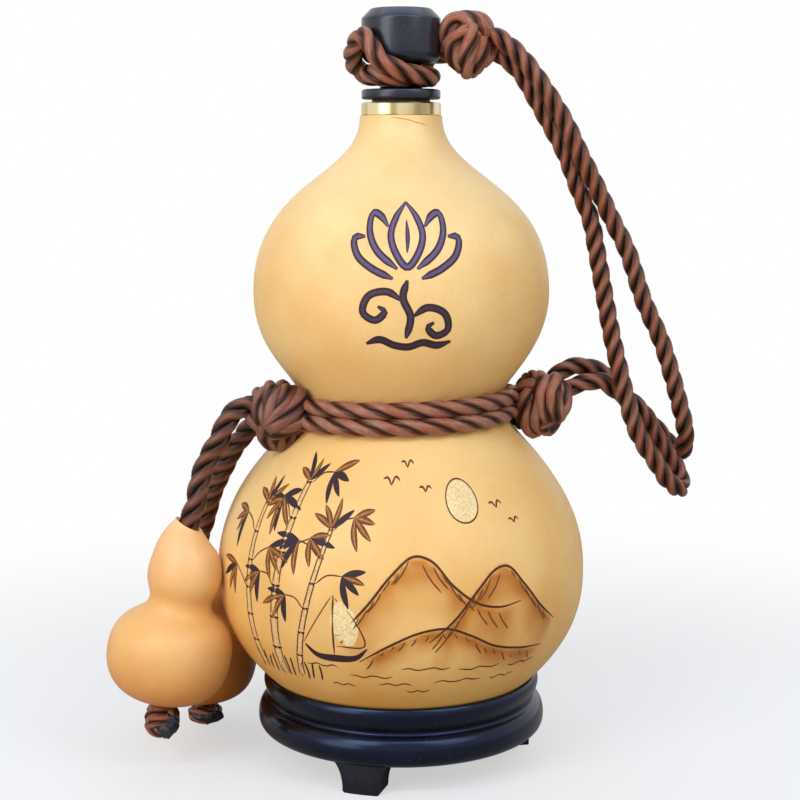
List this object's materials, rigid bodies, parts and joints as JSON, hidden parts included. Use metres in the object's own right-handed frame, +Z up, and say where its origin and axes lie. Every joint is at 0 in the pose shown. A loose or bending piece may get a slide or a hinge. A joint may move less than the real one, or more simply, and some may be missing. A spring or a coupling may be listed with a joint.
{
  "type": "gourd water bottle",
  "caption": "Double gourd bottle on a round footed stand, with a corded push-in stopper, a cord round the waist and small gourds hanging from it.",
  "frame": {"origin": "on the floor, on the axis of the bottle and its stand", "axes": "+Z up along the bottle's axis, -Y towards the front foot, +X towards the carrying strap"},
  "size_m": [0.2014, 0.1274, 0.2578],
  "materials": {
    "gourd_skin": "smooth dried gourd skin with a satin polish and a burnt drawing",
    "small_gourd_skin": "smooth dried gourd skin with a satin polish",
    "brass": "polished pale brass",
    "liner": "dark turned wood",
    "black_lacquer": "polished black lacquer",
    "cork": "cork",
    "washer_rubber": "soft rubber",
    "cord": "silky laid cord of three strands",
    "cord_end": "melted and blackened cord end",
    "stand_wood": "black lacquered turned wood",
    "foot_wood": "black stained wood, satin"
  },
  "bodies": {
    "stand": {"stand_ring": "stand_wood", "stand_foot_1": "foot_wood", "stand_foot_2": "foot_wood", "stand_foot_3": "foot_wood"},
    "bottle": {"gourd_shell": "gourd_skin", "mouth_ring": "brass", "mouth_liner": "liner", "waist_wrap": "cord", "left_knot": "cord", "right_knot": "cord", "strap_cord_inner": "cord", "strap_cord_outer": "cord"},
    "tether": {"stopper_loop": "cord", "top_knot": "cord"},
    "stopper": {"stopper_knob": "black_lacquer", "stopper_plug": "cork", "stopper_washer": "washer_rubber"},
    "front_pendant": {"pendant_cord_front": "cord", "end_knot_front": "cord", "cord_tip_front": "cord_end"},
    "front_gourd": {"small_gourd_front": "small_gourd_skin"},
    "back_pendant": {"pendant_cord_back": "cord", "end_knot_back": "cord", "cord_tip_back": "cord_end"},
    "back_gourd": {"small_gourd_back": "small_gourd_skin"}
  },
  "joints": [
    {"name": "bottle_lift", "type": "slide", "parent": "stand", "child": "bottle", "axis": [0, 0, 1], "range_m": [0, 0.06]},
    {"name": "stopper_pull", "type": "slide", "parent": "bottle", "child": "tether", "axis": [0, 0, 1], "range_m": [0, 0.045], "deforming": ["strap_cord_inner", "strap_cord_outer"]},
    {"name": "stopper_turn", "type": "hinge", "parent": "tether", "child": "stopper", "pos_m": [0, 0, 0.24], "axis": [0, 0, 1], "continuous": true},
    {"name": "front_pendant_swing", "type": "hinge", "parent": "bottle", "child": "front_pendant", "pos_m": [-0.0515, -0.0173, 0.1262], "axis": [0, 1, 0], "range_deg": [0, 50], "deforming": ["pendant_cord_front"]},
    {"name": "front_gourd_spin", "type": "hinge", "parent": "front_pendant", "child": "front_gourd", "pos_m": [-0.0715, -0.02, 0.086], "axis": [0.1468, 0, 0.9892], "continuous": true},
    {"name": "back_pendant_swing", "type": "hinge", "parent": "bottle", "child": "back_pendant", "pos_m": [-0.0485, -0.009, 0.1205], "axis": [0, 1, 0], "range_deg": [0, 50], "deforming": ["pendant_cord_back"]},
    {"name": "back_gourd_spin", "type": "hinge", "parent": "back_pendant", "child": "back_gourd", "pos_m": [-0.0735, 0.022, 0.07], "axis": [-0.0325, 0, 0.9995], "continuous": true}
  ]
}
